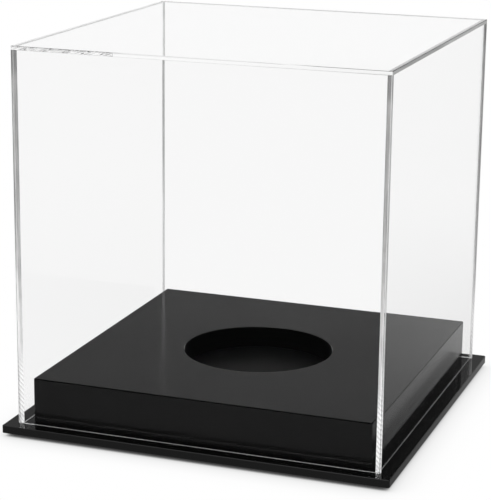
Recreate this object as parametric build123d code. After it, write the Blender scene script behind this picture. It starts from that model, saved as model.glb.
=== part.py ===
from build123d import *
import os
from math import radians, tan

# A square display case for one ball: a clear cover of five cemented sheets that lifts off a black base.
# Millimetres. The origin is on the floor under the middle of the case, +Z is up and the front faces -Y.

# Clear cover
COVER_WIDTH = 300.0  # outside, left to right
COVER_DEPTH = 300.0  # outside, front to back
WALL_HEIGHT = 300.0  # the four walls, under the top sheet
WALL_SHEET = 3.0  # thickness of the walls
TOP_SHEET = 3.0  # thickness of the top
SIDE_INSET = 1.2  # side walls, in from the ends of the front and back walls
COVER_ARRIS = 0.3  # broken edge along the cover's free outer edges
BOND_LINE = 0.1  # cement between two sheets
SEAT_GAP = 0.1  # between the walls' lower edges and the base plate

# Base plate
BASE_OVERHANG = 10.0  # ledge outside the cover, on all four sides
BASE_THICK = 6.4
BASE_CORNER_RADIUS = 1.6
BASE_ARRIS = 0.4  # broken edge all round, above and below

# Riser, two boards of the same outline
RISER_SIDE_CLEARANCE = 5.3  # between the riser and the side walls
RISER_END_CLEARANCE = 6.5  # between the riser and the front and back walls
LOWER_BOARD_THICK = 18.0
UPPER_BOARD_THICK = 18.0  # also the depth of the ball's recess
RISER_CORNER_RADIUS = 1.6
RISER_EDGE_RADIUS = 1.0
RECESS_DIAMETER = 124.0
RECESS_RIM_ARRIS = 0.6

# Countersunk screws, up through the base plate into both boards
SCREW_DIAMETER = 4.0
SCREW_HEAD_DIAMETER = 8.0
SCREW_HEAD_LAND = 0.4  # straight rim of the head, under its cone
SCREW_CONE_ANGLE = 90.0
SCREW_LENGTH = 35.0
SCREW_TIP = 4.0  # length of the point
SCREW_INSET = 25.0  # from the riser's sides
SCREW_SINK = 0.3  # head below the plate's underside
SCREW_CLEARANCE = 0.25  # around the shank in the base plate
THREAD_FIT = 0.05  # around the shank in the boards
HEAD_FIT = 0.05  # around the head in its countersink
PILOT_SPARE = 1.0  # pilot hole beyond the point
DRIVE_SPAN = 4.4  # cross in the head, from end to end
DRIVE_WIDTH = 0.9
DRIVE_DEPTH = 1.6

# Rubber feet
FOOT_DIAMETER = 12.0  # where it sticks to the plate
FOOT_HEIGHT = 3.0
FOOT_DRAFT = 1.0  # how much narrower the sole is, on each side
FOOT_SOLE_ARRIS = 0.5
FOOT_INSET = 22.0  # from the base plate's sides

# Worked out from the sizes above
base_width = COVER_WIDTH + 2 * BASE_OVERHANG
base_depth = COVER_DEPTH + 2 * BASE_OVERHANG
riser_width = COVER_WIDTH - 2 * (SIDE_INSET + WALL_SHEET + RISER_SIDE_CLEARANCE)
riser_depth = COVER_DEPTH - 2 * (WALL_SHEET + RISER_END_CLEARANCE)
plate_bottom = FOOT_HEIGHT
plate_top = plate_bottom + BASE_THICK
lower_board_top = plate_top + LOWER_BOARD_THICK
wall_bottom = plate_top + SEAT_GAP
wall_top = wall_bottom + WALL_HEIGHT
screw_bottom = plate_bottom + SCREW_SINK

CORNERS = {"front_left": (-1, -1), "front_right": (1, -1), "back_left": (-1, 1), "back_right": (1, 1)}


def standing_box(width, depth, height, x=0.0, y=0.0, z=0.0):
    """A box placed by the middle of its underside."""
    return Pos(x, y, z) * Box(width, depth, height, align=(Align.CENTER, Align.CENTER, Align.MIN))


def corner_places(width, depth, inset):
    """The four places that lie inset from a rectangle's sides, by corner name."""
    return {
        name: (sx * (width / 2 - inset), sy * (depth / 2 - inset))
        for name, (sx, sy) in CORNERS.items()
    }


# Clear cover

def end_wall(side):
    """The front (-1) or back (+1) wall. It is as wide as the cover, so its cut ends show at the sides."""
    y = side * (COVER_DEPTH - WALL_SHEET) / 2
    wall = standing_box(COVER_WIDTH, WALL_SHEET, WALL_HEIGHT, y=y, z=wall_bottom)
    outer_face = wall.faces().sort_by(Axis.Y)[-1 if side > 0 else 0]
    free_edges = outer_face.edges().sort_by(Axis.Z)[:-1]
    return chamfer(free_edges, COVER_ARRIS)


def side_wall(side):
    """A left (-1) or right (+1) wall, cemented between the front and back walls, a little in from their ends."""
    depth = COVER_DEPTH - 2 * (WALL_SHEET + BOND_LINE)
    x = side * (COVER_WIDTH / 2 - SIDE_INSET - WALL_SHEET / 2)
    wall = standing_box(WALL_SHEET, depth, WALL_HEIGHT, x=x, z=wall_bottom)
    outer_face = wall.faces().sort_by(Axis.X)[-1 if side > 0 else 0]
    return chamfer(outer_face.edges().sort_by(Axis.Z)[0], COVER_ARRIS)


def top_sheet():
    """The top lies over all four walls, flush with the front and back walls and their ends."""
    top = standing_box(COVER_WIDTH, COVER_DEPTH, TOP_SHEET, z=wall_top + BOND_LINE)
    free_edges = top.faces().sort_by(Axis.Z)[-1].edges() + top.edges().filter_by(Axis.Z)
    return chamfer(free_edges, COVER_ARRIS)


# Base plate and its screws

def turned(*points):
    """A solid turned about the Z axis from the corners of its half outline in XZ."""
    return revolve(make_face(Plane.XZ * Polyline(*points, close=True)), Axis.Z)


def cone_height(radius, head_radius):
    return (head_radius - radius) / tan(radians(SCREW_CONE_ANGLE / 2))


def screw():
    """A countersunk wood screw with a cross drive, standing on its head."""
    radius = SCREW_DIAMETER / 2
    head_radius = SCREW_HEAD_DIAMETER / 2
    body = turned(
        (0, 0),
        (head_radius, 0),
        (head_radius, SCREW_HEAD_LAND),
        (radius, SCREW_HEAD_LAND + cone_height(radius, head_radius)),
        (radius, SCREW_LENGTH - SCREW_TIP),
        (0, SCREW_LENGTH),
    )
    slot = standing_box(DRIVE_SPAN, DRIVE_WIDTH, DRIVE_DEPTH)
    return body - slot - Rot(0, 0, 90) * slot


def plate_hole():
    """The clearance hole and countersink that take a screw, running past both faces of the plate."""
    radius = SCREW_DIAMETER / 2 + SCREW_CLEARANCE
    head_radius = SCREW_HEAD_DIAMETER / 2 + HEAD_FIT
    return turned(
        (0, -BASE_THICK),
        (head_radius, -BASE_THICK),
        (head_radius, SCREW_HEAD_LAND),
        (radius, SCREW_HEAD_LAND + cone_height(radius, head_radius)),
        (radius, 2 * BASE_THICK),
        (0, 2 * BASE_THICK),
    )


def pilot_hole():
    """The hole that a screw's thread cuts in the boards."""
    radius = SCREW_DIAMETER / 2 + THREAD_FIT
    end = SCREW_LENGTH + PILOT_SPARE
    return turned((0, 0), (radius, 0), (radius, end - SCREW_TIP), (0, end))


def at_screws(shape):
    """Copies of a shape at the four screws, by corner name."""
    places = corner_places(riser_width, riser_depth, SCREW_INSET)
    return {name: Pos(x, y, screw_bottom) * shape for name, (x, y) in places.items()}


def base_plate():
    plate = standing_box(base_width, base_depth, BASE_THICK, z=plate_bottom)
    plate = fillet(plate.edges().filter_by(Axis.Z), BASE_CORNER_RADIUS)
    faces = plate.faces().sort_by(Axis.Z)
    plate = chamfer(faces[0].edges() + faces[-1].edges(), BASE_ARRIS)
    for hole in at_screws(plate_hole()).values():
        plate -= hole
    return plate


# Riser

def riser_board(thickness, z):
    board = standing_box(riser_width, riser_depth, thickness, z=z)
    return fillet(board.edges().filter_by(Axis.Z), RISER_CORNER_RADIUS)


def drilled(board):
    for hole in at_screws(pilot_hole()).values():
        board -= hole
    return board


def lower_board():
    """The plain board, whose top is the floor of the ball's recess."""
    return drilled(riser_board(LOWER_BOARD_THICK, plate_top))


def upper_board():
    """The board with the round hole that the ball sits in."""
    board = riser_board(UPPER_BOARD_THICK, lower_board_top)
    board = fillet(board.faces().sort_by(Axis.Z)[-1].edges(), RISER_EDGE_RADIUS)
    middle = lower_board_top + UPPER_BOARD_THICK / 2
    board -= Pos(0, 0, middle) * Cylinder(RECESS_DIAMETER / 2, 2 * UPPER_BOARD_THICK)
    rim = board.edges().filter_by(GeomType.CIRCLE).group_by(Axis.Z)[-1].sort_by(SortBy.LENGTH)[-1]
    return drilled(chamfer(rim, RECESS_RIM_ARRIS))


# Feet

def foot():
    """A stick-on rubber foot, drafted down to a flat sole with a broken edge."""
    top_radius = FOOT_DIAMETER / 2
    sole_radius = top_radius - FOOT_DRAFT
    body = turned((0, 0), (sole_radius, 0), (top_radius, FOOT_HEIGHT), (0, FOOT_HEIGHT))
    return chamfer(body.edges().group_by(Axis.Z)[0], FOOT_SOLE_ARRIS)


def all_nodes():
    nodes = {
        "cover_front_panel": end_wall(-1),
        "cover_back_panel": end_wall(1),
        "cover_left_panel": side_wall(-1),
        "cover_right_panel": side_wall(1),
        "cover_top_panel": top_sheet(),
        "base_plate": base_plate(),
        "riser_lower_board": lower_board(),
        "riser_upper_board": upper_board(),
    }
    for name, shape in at_screws(screw()).items():
        nodes[f"riser_screw_{name}"] = shape
    one_foot = foot()
    for name, (x, y) in corner_places(base_width, base_depth, FOOT_INSET).items():
        nodes[f"foot_{name}"] = Pos(x, y, 0) * one_foot
    return nodes


os.makedirs("parts", exist_ok=True)
for node, solid in all_nodes().items():
    solid.label = node
    export_step(solid, f"parts/{node}.step")
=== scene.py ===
import math

import bmesh
import bpy
from mathutils import Matrix, Vector

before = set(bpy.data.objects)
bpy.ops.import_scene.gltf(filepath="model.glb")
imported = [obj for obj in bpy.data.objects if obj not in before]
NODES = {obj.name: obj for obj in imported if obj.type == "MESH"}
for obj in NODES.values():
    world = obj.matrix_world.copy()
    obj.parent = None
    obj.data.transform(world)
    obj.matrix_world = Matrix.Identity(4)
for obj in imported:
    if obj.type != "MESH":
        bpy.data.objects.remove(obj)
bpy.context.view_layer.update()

# The photograph's view, in the picture's frame of 491 by 500 pixels
PICTURE_LONG_SIDE = 500.0  # pixels
FOCAL_LENGTH = 1834.0  # pixels
SENSOR = 36.0  # millimetres
CAMERA_AZIMUTH = 19.8  # degrees
CAMERA_ELEVATION = 14.8
CAMERA_ROLL = 0.63
CAMERA_DISTANCE = 1.518  # metres, from the point that it turns about
CAMERA_RIGHT = -0.0123
CAMERA_UP = -0.0215
CENTRE_HEIGHT = 0.153

# Studio, as strengths where 1 is white
BACKDROP = 1.0  # what is seen directly, or straight through the cover
ROOM_LIGHT = 0.95  # what lights the surfaces
CEILING = 0.21  # what mirrors show of the studio above the backdrop
OVERHEAD = 1.0  # what mirrors show of the softbox overhead
OVERHEAD_EDGE = (0.75, 0.92)  # sines of the elevations where it begins and is full
HORIZON_GLOW = 1.0  # what mirrors show of the backdrop itself
BACKDROP_TOP = (0.15, 0.21)  # sines of the elevations where the backdrop fades out
FRONT_DIM = 0.75  # how much dimmer the studio is behind the camera
FRONT_FADE = (-0.8, 0.2)  # from front to back, as a direction's Y
RIGHT_DIM = 0.4  # how much dimmer its ceiling is to the right of the object
RIGHT_FADE = (-0.2, 0.25)  # from left to right, as a direction's X
FLOOR_BOUNCE = 0.8  # light that the floor sends back up
FLOOR_IN_MIRRORS = (0.22, 0.85)  # near the camera and far behind the object
FLOOR_FADE = (-0.25, 0.85)  # metres behind the middle, where the one turns into the other
FLOOR_SIZE = 24.0
CONTACT_REACH = 0.010  # metres
CONTACT_CORE = 0.45  # how open the floor is where the contact shadow ends
SHADOW_REACH = (0.035, 0.08)  # metres, seen directly and in mirrors
SHADOW_SOFTNESS = 0.4
SHADOW_SAMPLES = 32
LIGHT_PATH_LENGTH = 64

# Cover
SHEET_IOR = 1.49
SHEET_TINT = 0.985  # what one polished face lets through
MIRROR_FALLOFF = 1.8  # above 1, a face mirrors less head on, and as much as ever at a glance
CLEAR_SHADOW = 0.95  # what the cover lets through of a lamp's light

# The cover's cut ends, with heights in metres and shades from black to white
STREAK_DEPTH = (0.65, 1.2)  # the darkest and the lightest, as shares of the shade
WANDER = 0.04  # how far the heights below wander up and down
PAINTED_HEIGHT_FADE = (0.09, 0.22)
PAINTED_HEIGHT_SHADES = (0.88, 0.42)  # painted light and shade by height: light below the fade, where the floor lights the cut ends, and grey above it, where the room is dimmer
SCRAPED_ROUGHNESS = 0.3
SCRAPED_CLEARNESS = 0.2
BRIGHTEST = 0.95  # the lightest that streaks and cement may make it
BLOT_FADE = (0.308, 0.320)  # where the tops of the walls' ends are made darker
BLOT_SHADE = 0.6  # this and the next two are shares of the shade
FILM_SHADE = 1.35
# painted shade that darkens the back wall's right cut end
FAR_END_PAINTED_SHADE = 0.4
FROST_AND_PAINTED_LIGHT_FADE = (0.065, 0.10)  # where the frosted foot of a cut end, with saw marks and painted lighter, gives way to the scraped part with its painted shade
SAW_MARK_SCALE = (165, 165, 165)  # per metre
SAW_MARK_SHADES = (0.98, 0.66)
SAW_MARK_DEPTH = 0.0003
UNDERSIDE_PAINTED_SHADE = 0.6  # painted shade on the undersides of the cut ends, as a share of the saw marks' shade
LEFT_END_SAWN = 0.6  # how much of the top's left end its streaks take at most

# Cloudy patterns, as the noise's scales per metre along X, Y and Z, its detail and its roughness
UPRIGHT_STREAKS = ((900, 900, 25), 4.0, 0.6)
LEVEL_STREAKS = ((900, 25, 900), 4.0, 0.6)
WANDERING = ((20, 20, 20), 3.0, 0.5)
DUST = ((900, 900, 900), 2.0, 0.5)
SMEARS = ((60, 60, 60), 8.0, 0.65)
SCRAPES = ((15, 15, 1200), 3.0, 0.6)
LACQUER_CLOUDS = ((14, 14, 14), 4.0, 0.55)
ORANGE_PEEL = ((700, 700, 700), 2.0, 0.5)
ZINC_MOTTLE = ((500, 500, 500), 4.0, 0.6)
RUBBER_GRAIN = ((1500, 1500, 1500), 3.0, 0.6)

# The stretch of a pattern's values, which go from 0 to 1, that a fade takes up
USUAL_RANGE = (0.3, 0.7)  # where most of them lie
STREAK_RANGE = (0.32, 0.70)
LEFT_END_RANGE = (0.4, 0.6)
SAW_MARK_RANGE = (0.35, 1.0)
DUST_RANGE = (0.70, 0.80)
SMEAR_RANGE = (0.40, 0.75)

# Base, with depths in metres
PLATE_DUST_SHADES = (0.0012, 0.012)  # clean, and on a speck
PLATE_EDGE_SHADE = 0.003
PLATE_SMEARS = (0.02, 0.07)  # roughness
PLATE_EDGE_ROUGHNESS = 0.22
PLATE_SCRAPE_DEPTH = 0.00006
FULL_COAT = (0.0028, 1.45, (0.12, 0.16))  # the lacquer's shade, refractive index and least and most roughness
# painted shade: a darker, duller coat in the ball's recess
RECESS_PAINTED_SHADE_COAT = (0.001, 1.29, (0.30, 0.36))
# painted shade: the darkest, dullest coat, on the recess's wall and as a dark line on the riser's rounded top
# edge
DARKEST_PAINTED_SHADE_COAT = (0.0005, 1.10, (0.30, 0.36))
PEEL_DEPTH = 0.00003
ZINC_SHADES = (0.45, 0.62)
ZINC_ROUGHNESS = (0.22, 0.4)
RUBBER_IOR = 1.5
RUBBER_SHADES = (0.012, 0.028)
RUBBER_ROUGHNESS = (0.6, 0.8)
RUBBER_GRAIN_DEPTH = 0.0001

# Masks, in metres
MARGIN = 0.0001  # so that a mask doesn't end on a face
FILM_SPREAD = 0.001  # how far the cement film runs on round a corner
RECESS_RIM = 0.0003  # how much of its broken rim counts as the recess
RISER_EDGE = 0.0015  # how far in the riser's rounded edge begins

# Masks, as how squarely a surface faces an axis, from 0 to 1
FACE = 0.8
FACE_OR_ARRIS = 0.6
UPRIGHT = 0.3
EDGE_FROM = (0.1, 0.3)  # where the rounded edge fades in above the riser's side
EDGE_TO = (0.97, 0.999)  # where it fades out into its top


def node(tree, kind, **settings):
    """Adds a shader node with its settings."""
    made = tree.nodes.new(kind)
    for name, value in settings.items():
        setattr(made, name, value)
    return made


def put(made, **values):
    """Sets a node's sockets: underscores in the names stand for spaces."""
    for name, value in values.items():
        made.inputs[name.replace("_", " ")].default_value = value
    return made


def math_node(tree, operation, *values):
    """A Math node on sockets and numbers, as its output socket."""
    made = node(tree, "ShaderNodeMath", operation=operation)
    for number, value in enumerate(values):
        if isinstance(value, (int, float)):
            made.inputs[number].default_value = value
        else:
            tree.links.new(value, made.inputs[number])
    return made.outputs[0]


def ramp(tree, value, start, end, low, high):
    """Runs smoothly from low to high while value runs from start to end."""
    made = node(tree, "ShaderNodeMapRange", interpolation_type="SMOOTHSTEP")
    put(made, From_Min=start, From_Max=end, To_Min=low, To_Max=high)
    tree.links.new(value, made.inputs["Value"])
    return made.outputs["Result"]


def mix_shader(tree, share, first, second):
    """Goes from the first shader to the second as share goes from 0 to 1."""
    made = node(tree, "ShaderNodeMixShader")
    for socket, value in zip(made.inputs, (share, first, second)):
        tree.links.new(value, socket)
    return made.outputs[0]


def mix_number(tree, share, first, second):
    """Goes from the first value to the second as share goes from 0 to 1."""
    made = node(tree, "ShaderNodeMix", data_type="FLOAT")
    for socket, value in zip(made.inputs[0:1] + made.inputs[2:4], (share, first, second)):
        if isinstance(value, (int, float)):
            socket.default_value = value
        else:
            tree.links.new(value, socket)
    return made.outputs[0]


def product(tree, first, *others):
    """The values multiplied together."""
    for other in others:
        first = math_node(tree, "MULTIPLY", first, other)
    return first


def above(tree, value, limit):
    """1 where value is above limit, and 0 elsewhere."""
    return math_node(tree, "GREATER_THAN", value, limit)


def below(tree, value, limit):
    """1 where value is below limit, and 0 elsewhere."""
    return math_node(tree, "LESS_THAN", value, limit)


def rgba(value):
    """A grey colour for a socket."""
    return (value, value, value, 1)


def axes_of(tree, output="Object"):
    """The three parts of a Texture Coordinate output."""
    place = node(tree, "ShaderNodeTexCoord")
    axes = node(tree, "ShaderNodeSeparateXYZ")
    tree.links.new(place.outputs[output], axes.inputs[0])
    return axes.outputs


def new_material(name):
    """An empty node material, as (material, tree, output)."""
    material = bpy.data.materials.new(name)
    material.use_nodes = True
    material.node_tree.nodes.clear()
    output = material.node_tree.nodes.new("ShaderNodeOutputMaterial")
    return material, material.node_tree, output


# Camera

def camera_axes():
    """The camera's right, up and back directions."""
    azimuth, elevation, roll = (
        math.radians(angle) for angle in (CAMERA_AZIMUTH, CAMERA_ELEVATION, CAMERA_ROLL)
    )
    back = Vector((
        math.sin(azimuth) * math.cos(elevation),
        -math.cos(azimuth) * math.cos(elevation),
        math.sin(elevation),
    ))
    right = Vector((math.cos(azimuth), math.sin(azimuth), 0))
    up = back.cross(right)
    tilted_right = math.cos(roll) * right + math.sin(roll) * up
    return tilted_right, back.cross(tilted_right), back


def add_camera():
    right, up, back = camera_axes()
    data = bpy.data.cameras.new("camera")
    data.sensor_width = SENSOR
    data.lens = FOCAL_LENGTH * SENSOR / PICTURE_LONG_SIDE
    camera = bpy.data.objects.new("camera", data)
    bpy.context.scene.collection.objects.link(camera)
    place = Vector((0, 0, CENTRE_HEIGHT)) + CAMERA_DISTANCE * back + CAMERA_RIGHT * right + CAMERA_UP * up
    axes = Matrix((right, up, back)).transposed()
    camera.matrix_world = Matrix.Translation(place) @ axes.to_4x4()
    bpy.context.scene.camera = camera


# Stage

def seen_by(tree, kind):
    """1 where the ray has come by way of a Glossy or a Diffuse surface, and 0 elsewhere."""
    path = node(tree, "ShaderNodeLightPath")
    return above(tree, path.outputs[f"{kind} Depth"], 0.5)


def three_way(tree, direct, mirrored, lighting):
    """Picks a strength by the ray's history: seen directly, by a mirror, or by a surface that it lights."""
    seen = mix_number(tree, seen_by(tree, "Glossy"), direct, mirrored)
    return mix_number(tree, seen_by(tree, "Diffuse"), seen, lighting)


def add_world():
    """A white backdrop in a dimmer room, which mirrors show, and an even light on all surfaces."""
    world = bpy.data.worlds.new("studio")
    bpy.context.scene.world = world
    world.use_nodes = True
    tree = world.node_tree
    tree.nodes.clear()
    output = node(tree, "ShaderNodeOutputWorld")
    background = put(node(tree, "ShaderNodeBackground"), Color=(1, 1, 1, 1))
    direction = axes_of(tree, "Generated")
    ceiling = ramp(tree, direction["X"], *RIGHT_FADE, CEILING, CEILING * RIGHT_DIM)
    height = ramp(tree, direction["Z"], *BACKDROP_TOP, 0.0, 1.0)
    room = mix_number(tree, height, HORIZON_GLOW, ceiling)
    room = product(tree, room, ramp(tree, direction["Y"], *FRONT_FADE, FRONT_DIM, 1.0))
    room = math_node(tree, "ADD", room, ramp(tree, direction["Z"], *OVERHEAD_EDGE, 0.0, OVERHEAD))
    tree.links.new(three_way(tree, BACKDROP, room, ROOM_LIGHT), background.inputs["Strength"])
    tree.links.new(background.outputs[0], output.inputs["Surface"])


def floor_material():
    """White paper that clears to white all round a soft contact shadow, and isn't there from below."""
    material, tree, output = new_material("floor_paper")
    glow = put(node(tree, "ShaderNodeEmission"), Color=(1, 1, 1, 1))
    shadow = node(tree, "ShaderNodeAmbientOcclusion", samples=SHADOW_SAMPLES)
    tree.links.new(mix_number(tree, seen_by(tree, "Glossy"), *SHADOW_REACH), shadow.inputs["Distance"])
    soft = math_node(tree, "POWER", shadow.outputs["AO"], SHADOW_SOFTNESS)
    contact = put(node(tree, "ShaderNodeAmbientOcclusion", samples=SHADOW_SAMPLES), Distance=CONTACT_REACH)
    core = ramp(tree, contact.outputs["AO"], 0.0, CONTACT_CORE, 0.0, 1.0)
    mirrored = ramp(tree, axes_of(tree)["Y"], *FLOOR_FADE, *FLOOR_IN_MIRRORS)
    level = three_way(tree, BACKDROP, mirrored, FLOOR_BOUNCE)
    tree.links.new(product(tree, level, soft, core), glow.inputs["Strength"])
    from_below = node(tree, "ShaderNodeNewGeometry").outputs["Backfacing"]
    clear = node(tree, "ShaderNodeBsdfTransparent")
    surface = mix_shader(tree, from_below, glow.outputs[0], clear.outputs[0])
    tree.links.new(surface, output.inputs["Surface"])
    return material


def add_floor():
    mesh = bpy.data.meshes.new("floor")
    shape = bmesh.new()
    bmesh.ops.create_grid(shape, x_segments=1, y_segments=1, size=FLOOR_SIZE / 2)
    shape.to_mesh(mesh)
    shape.free()
    floor = bpy.data.objects.new("floor", mesh)
    bpy.context.scene.collection.objects.link(floor)
    mesh.materials.append(floor_material())


def add_lamp(name, place, aim, size, power):
    """A soft square lamp at place that points at aim."""
    data = bpy.data.lights.new(name, "AREA")
    data.shape = "SQUARE"
    data.size = size
    data.energy = power
    lamp = bpy.data.objects.new(name, data)
    bpy.context.scene.collection.objects.link(lamp)
    lamp.location = place
    lamp.rotation_euler = (Vector(aim) - Vector(place)).to_track_quat("-Z", "Y").to_euler()
    lamp.visible_glossy = False


def add_lamps():
    add_lamp("overhead_softbox", place=(-0.5, 0.3, 1.9), aim=(0, 0, 0.1), size=1.4, power=10.0)
    add_lamp("front_softbox", place=(0.3, -2.2, 0.9), aim=(0, 0, 0.12), size=1.2, power=13.0)


# Materials

def with_clear_shadow(tree, surface, output):
    """Lets lamps through a clear surface, so that what stands in the cover is lit."""
    path = node(tree, "ShaderNodeLightPath")
    clear = put(node(tree, "ShaderNodeBsdfTransparent"), Color=rgba(CLEAR_SHADOW))
    made = mix_shader(tree, path.outputs["Is Shadow Ray"], surface, clear.outputs[0])
    tree.links.new(made, output.inputs["Surface"])


def facing(tree, axis):
    """How squarely a surface faces along an axis, either way, from 0 to 1."""
    return math_node(tree, "ABSOLUTE", axes_of(tree, "Normal")[axis])


def stretched(tree, scale):
    """The place on the object, in metres, scaled apart along the three axes."""
    place = node(tree, "ShaderNodeTexCoord")
    mapping = put(node(tree, "ShaderNodeMapping"), Scale=scale)
    tree.links.new(place.outputs["Object"], mapping.inputs["Vector"])
    return mapping.outputs[0]


def noise(tree, scale, detail, roughness):
    """One of the cloudy patterns, from 0 to 1."""
    made = put(node(tree, "ShaderNodeTexNoise"), Scale=1.0, Detail=detail, Roughness=roughness)
    tree.links.new(stretched(tree, scale), made.inputs["Vector"])
    return made.outputs["Fac"]


def grey(tree, value):
    """A grey colour from a number."""
    made = node(tree, "ShaderNodeCombineColor")
    for socket in made.inputs:
        tree.links.new(value, socket)
    return made.outputs[0]


def bumped(tree, height, depth, *shaders):
    """Gives the shaders a bump of the depth, in metres, that the height, from 0 to 1, drives."""
    bump = put(node(tree, "ShaderNodeBump"), Strength=1.0, Distance=depth)
    tree.links.new(height, bump.inputs["Height"])
    for shader in shaders:
        tree.links.new(bump.outputs[0], shader.inputs["Normal"])


def reach(name, axis):
    """The least and the greatest place of a node along an axis, in metres, where it is at rest."""
    number = "XYZ".index(axis)
    places = [vertex.co[number] for vertex in NODES[name].data.vertices]
    return min(places), max(places)


# The cover's materials

def polished_face(tree):
    """A face that bends what it lets through and mirrors the rest."""
    through = node(tree, "ShaderNodeBsdfRefraction")
    put(through, Color=rgba(SHEET_TINT), Roughness=0.0, IOR=SHEET_IOR)
    mirror = put(node(tree, "ShaderNodeBsdfAnisotropic"), Color=rgba(1), Roughness=0.0)
    fresnel = put(node(tree, "ShaderNodeFresnel"), IOR=SHEET_IOR)
    share = math_node(tree, "POWER", fresnel.outputs[0], MIRROR_FALLOFF)
    return mix_shader(tree, share, through.outputs[0], mirror.outputs[0])


def cement_film(tree):
    """Where cement has run out on the inner side of the end walls' ends, but for the right front one."""
    place = axes_of(tree)
    side_wall_face = reach("cover_right_panel", "X")[1]
    end_wall_face = reach("cover_back_panel", "Y")[0]
    outside = above(tree, math_node(tree, "ABSOLUTE", place["X"]), side_wall_face + MARGIN)
    inside = below(tree, math_node(tree, "ABSOLUTE", place["Y"]), end_wall_face + FILM_SPREAD)
    left = below(tree, place["X"], 0.0)
    back = above(tree, place["Y"], 0.0)
    return product(tree, outside, inside, math_node(tree, "MAXIMUM", left, back))


def far_end_painted_shade(tree):
    """1 on the back wall's right cut end, which is given painted shade to make it darker than the others, and
    0 elsewhere.
    """
    place = axes_of(tree)
    right = above(tree, place["X"], reach("cover_right_panel", "X")[1] - MARGIN)
    back = above(tree, place["Y"], reach("cover_back_panel", "Y")[0] - MARGIN)
    under_top = below(tree, place["Z"], reach("cover_back_panel", "Z")[1])
    return product(tree, right, back, under_top)


def upper_part_with_painted_shade(tree, level, streaks):
    """The dull grey part of a cut end, where level is the wandering height on it: its grey is painted shade,
    lighter low down and darker high up.
    """
    shade = product(
        tree,
        ramp(tree, noise(tree, *streaks), *STREAK_RANGE, *STREAK_DEPTH),
        # painted light and shade: the cut end is lighter low down and greyer high up
        ramp(tree, level, *PAINTED_HEIGHT_FADE, *PAINTED_HEIGHT_SHADES),
        ramp(tree, level, *BLOT_FADE, 1.0, BLOT_SHADE),
        mix_number(tree, cement_film(tree), 1.0, FILM_SHADE),
        mix_number(tree, far_end_painted_shade(tree), 1.0, FAR_END_PAINTED_SHADE),
    )
    shader = put(
        node(tree, "ShaderNodeBsdfPrincipled"),
        Roughness=SCRAPED_ROUGHNESS, IOR=SHEET_IOR, Transmission_Weight=SCRAPED_CLEARNESS,
    )
    tree.links.new(grey(tree, math_node(tree, "MINIMUM", shade, BRIGHTEST)), shader.inputs["Base Color"])
    return shader.outputs[0]


def frosted_part(tree):
    """The white part of a cut end, with slanting saw marks, and painted shade that makes it darker on an
    underside.
    """
    marks = put(
        node(tree, "ShaderNodeTexWave", bands_direction="DIAGONAL", wave_profile="SAW"),
        Scale=1.0, Distortion=1.5, Detail=2.0, Detail_Scale=1.0,
    )
    tree.links.new(stretched(tree, SAW_MARK_SCALE), marks.inputs["Vector"])
    shade = ramp(tree, marks.outputs["Fac"], *SAW_MARK_RANGE, *SAW_MARK_SHADES)
    # painted shade: darker where the cut end faces down onto the base
    underside = above(tree, facing(tree, "Z"), FACE)
    shade = product(tree, shade, mix_number(tree, underside, 1.0, UNDERSIDE_PAINTED_SHADE))
    shader = put(node(tree, "ShaderNodeBsdfDiffuse"), Roughness=0.0)
    tree.links.new(grey(tree, shade), shader.inputs["Color"])
    bumped(tree, marks.outputs["Fac"], SAW_MARK_DEPTH, shader)
    return shader.outputs[0]


def sawn_edge(tree, streaks):
    """A cut end with streaks along it: scraped and painted grey high up, and frosted with saw marks and
    painted lighter near the base, as painted light and shade by height.
    """
    wander = product(tree, noise(tree, *WANDERING), WANDER)
    level = math_node(tree, "ADD", axes_of(tree)["Z"], wander)
    # the scraped part carries the painted shade that greys the cut end high up
    scraped = upper_part_with_painted_shade(tree, level, streaks)
    return mix_shader(tree, ramp(tree, level, *FROST_AND_PAINTED_LIGHT_FADE, 1.0, 0.0), scraped, frosted_part(tree))


def clear_wall(name, axis):
    """A wall of clear acrylic that is thin along an axis: polished on both faces and sawn on its edges."""
    material, tree, output = new_material(name)
    is_bare = math_node(tree, "SUBTRACT", 1.0, cement_film(tree))
    is_polished = product(tree, above(tree, facing(tree, axis), FACE_OR_ARRIS), is_bare)
    surface = mix_shader(tree, is_polished, sawn_edge(tree, UPRIGHT_STREAKS), polished_face(tree))
    with_clear_shadow(tree, surface, output)
    return material


def clear_top():
    """The top sheet, polished on its faces and its front and back edges, and in streaks on its left end."""
    material, tree, output = new_material("clear_top_sheet")
    is_end = above(tree, facing(tree, "X"), FACE)
    is_right = above(tree, axes_of(tree)["X"], 0.0)
    left_streaks = ramp(tree, noise(tree, *LEVEL_STREAKS), *LEFT_END_RANGE, 0.0, LEFT_END_SAWN)
    is_sawn = product(tree, is_end, mix_number(tree, is_right, left_streaks, 1.0))
    surface = mix_shader(tree, is_sawn, polished_face(tree), sawn_edge(tree, LEVEL_STREAKS))
    with_clear_shadow(tree, surface, output)
    return material


# The base's materials

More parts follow.
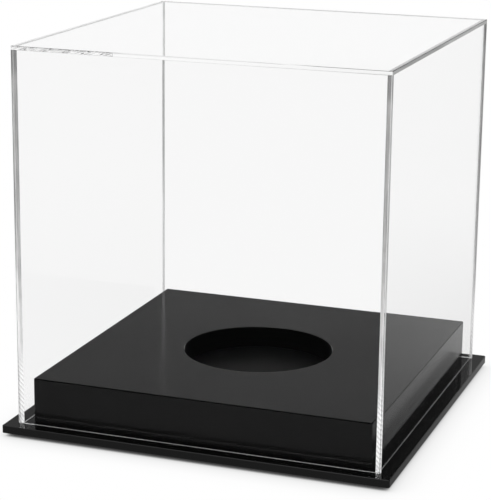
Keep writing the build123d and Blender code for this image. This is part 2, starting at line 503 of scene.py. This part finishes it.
def glossy_black():
    """Black acrylic plate: a mirror gloss with faint smears and specks of dust, and scraped edges."""
    material, tree, output = new_material("black_acrylic")
    shader = put(node(tree, "ShaderNodeBsdfPrincipled"), IOR=SHEET_IOR)
    is_top = above(tree, facing(tree, "Z"), FACE)
    dusty = ramp(tree, noise(tree, *DUST), *DUST_RANGE, *PLATE_DUST_SHADES)
    shade = mix_number(tree, is_top, PLATE_EDGE_SHADE, dusty)
    tree.links.new(grey(tree, shade), shader.inputs["Base Color"])
    smears = ramp(tree, noise(tree, *SMEARS), *SMEAR_RANGE, *PLATE_SMEARS)
    roughness = mix_number(tree, is_top, PLATE_EDGE_ROUGHNESS, smears)
    tree.links.new(roughness, shader.inputs["Roughness"])
    scrapes = product(tree, noise(tree, *SCRAPES), math_node(tree, "SUBTRACT", 1.0, is_top))
    bumped(tree, scrapes, PLATE_SCRAPE_DEPTH, shader)
    tree.links.new(shader.outputs[0], output.inputs["Surface"])
    return material


def recess_radius():
    """The radius of the ball's recess, in metres: no point of its board is nearer to the middle."""
    return min(vertex.co.xy.length for vertex in NODES["riser_upper_board"].data.vertices)


def recess(tree):
    """1 in the ball's recess, which gets painted shade, and 0 elsewhere."""
    place = axes_of(tree)
    across = product(tree, place["X"], place["X"])
    along = product(tree, place["Y"], place["Y"])
    inside = below(tree, math_node(tree, "ADD", across, along), (recess_radius() + RECESS_RIM) ** 2)
    over_floor = above(tree, place["Z"], reach("riser_upper_board", "Z")[0] - MARGIN)
    return product(tree, inside, over_floor)


def rounded_edge(tree):
    """1 on the rounded edge round the riser's top, which gets a dark line of painted shade, and 0 elsewhere.
    """
    beside = []
    for axis in "XY":
        outward = math_node(tree, "ABSOLUTE", axes_of(tree)[axis])
        beside.append(above(tree, outward, reach("riser_upper_board", axis)[1] - RISER_EDGE))
    upward = facing(tree, "Z")
    rising = ramp(tree, upward, *EDGE_FROM, 0.0, 1.0)
    levelling = ramp(tree, upward, *EDGE_TO, 1.0, 0.0)
    return product(tree, math_node(tree, "MAXIMUM", *beside), rising, levelling)


def lacquer_coat(tree, shade, ior, roughness):
    """A black coat whose roughness varies a little between two values."""
    shader = put(node(tree, "ShaderNodeBsdfPrincipled"), Base_Color=rgba(shade), IOR=ior)
    clouds = noise(tree, *LACQUER_CLOUDS)
    tree.links.new(ramp(tree, clouds, *USUAL_RANGE, *roughness), shader.inputs["Roughness"])
    bumped(tree, noise(tree, *ORANGE_PEEL), PEEL_DEPTH, shader)
    return shader.outputs[0]


def satin_black():
    """Sprayed satin lacquer with a fine orange peel, and painted shade: a darker, duller coat in the recess,
    and the darkest on its wall and the rounded top edge.
    """
    material, tree, output = new_material("satin_lacquer")
    full = lacquer_coat(tree, *FULL_COAT)
    # thin and least are painted shade: darker coats for the recess and the rounded edge
    thin = lacquer_coat(tree, *RECESS_PAINTED_SHADE_COAT)
    least = lacquer_coat(tree, *DARKEST_PAINTED_SHADE_COAT)
    in_recess = recess(tree)
    on_wall = product(tree, in_recess, below(tree, facing(tree, "Z"), UPRIGHT))
    surface = mix_shader(tree, in_recess, full, thin)
    surface = mix_shader(tree, math_node(tree, "MAXIMUM", on_wall, rounded_edge(tree)), surface, least)
    tree.links.new(surface, output.inputs["Surface"])
    return material


def zinc():
    """Bright zinc plating with a faint mottle."""
    material, tree, output = new_material("zinc_plate")
    shader = put(node(tree, "ShaderNodeBsdfPrincipled"), Metallic=1.0)
    mottle = noise(tree, *ZINC_MOTTLE)
    tree.links.new(grey(tree, ramp(tree, mottle, *USUAL_RANGE, *ZINC_SHADES)), shader.inputs["Base Color"])
    tree.links.new(ramp(tree, mottle, *USUAL_RANGE, *ZINC_ROUGHNESS), shader.inputs["Roughness"])
    tree.links.new(shader.outputs[0], output.inputs["Surface"])
    return material


def rubber():
    """Moulded black rubber with a fine grain."""
    material, tree, output = new_material("black_rubber")
    shader = put(node(tree, "ShaderNodeBsdfPrincipled"), IOR=RUBBER_IOR)
    grain = noise(tree, *RUBBER_GRAIN)
    tree.links.new(grey(tree, ramp(tree, grain, *USUAL_RANGE, *RUBBER_SHADES)), shader.inputs["Base Color"])
    tree.links.new(ramp(tree, grain, *USUAL_RANGE, *RUBBER_ROUGHNESS), shader.inputs["Roughness"])
    bumped(tree, grain, RUBBER_GRAIN_DEPTH, shader)
    tree.links.new(shader.outputs[0], output.inputs["Surface"])
    return material


def dress(names, material):
    for name in names:
        slots = NODES[name].data.materials
        slots.clear()
        slots.append(material)


def dress_all():
    dress(["cover_left_panel", "cover_right_panel"], clear_wall("clear_side_wall", "X"))
    dress(["cover_front_panel", "cover_back_panel"], clear_wall("clear_end_wall", "Y"))
    dress(["cover_top_panel"], clear_top())
    dress(["base_plate"], glossy_black())
    dress(["riser_lower_board", "riser_upper_board"], satin_black())
    dress([n for n in NODES if n.startswith("riser_screw")], zinc())
    dress([n for n in NODES if n.startswith("foot")], rubber())


def set_up_render():
    """Plain colours, and light paths long enough to run down the inside of a thin sheet."""
    scene = bpy.context.scene
    scene.view_settings.view_transform = "Standard"
    scene.cycles.max_bounces = LIGHT_PATH_LENGTH
    scene.cycles.glossy_bounces = LIGHT_PATH_LENGTH
    scene.cycles.transmission_bounces = LIGHT_PATH_LENGTH
    scene.cycles.transparent_max_bounces = LIGHT_PATH_LENGTH


set_up_render()
add_camera()
add_world()
add_floor()
add_lamps()
dress_all()
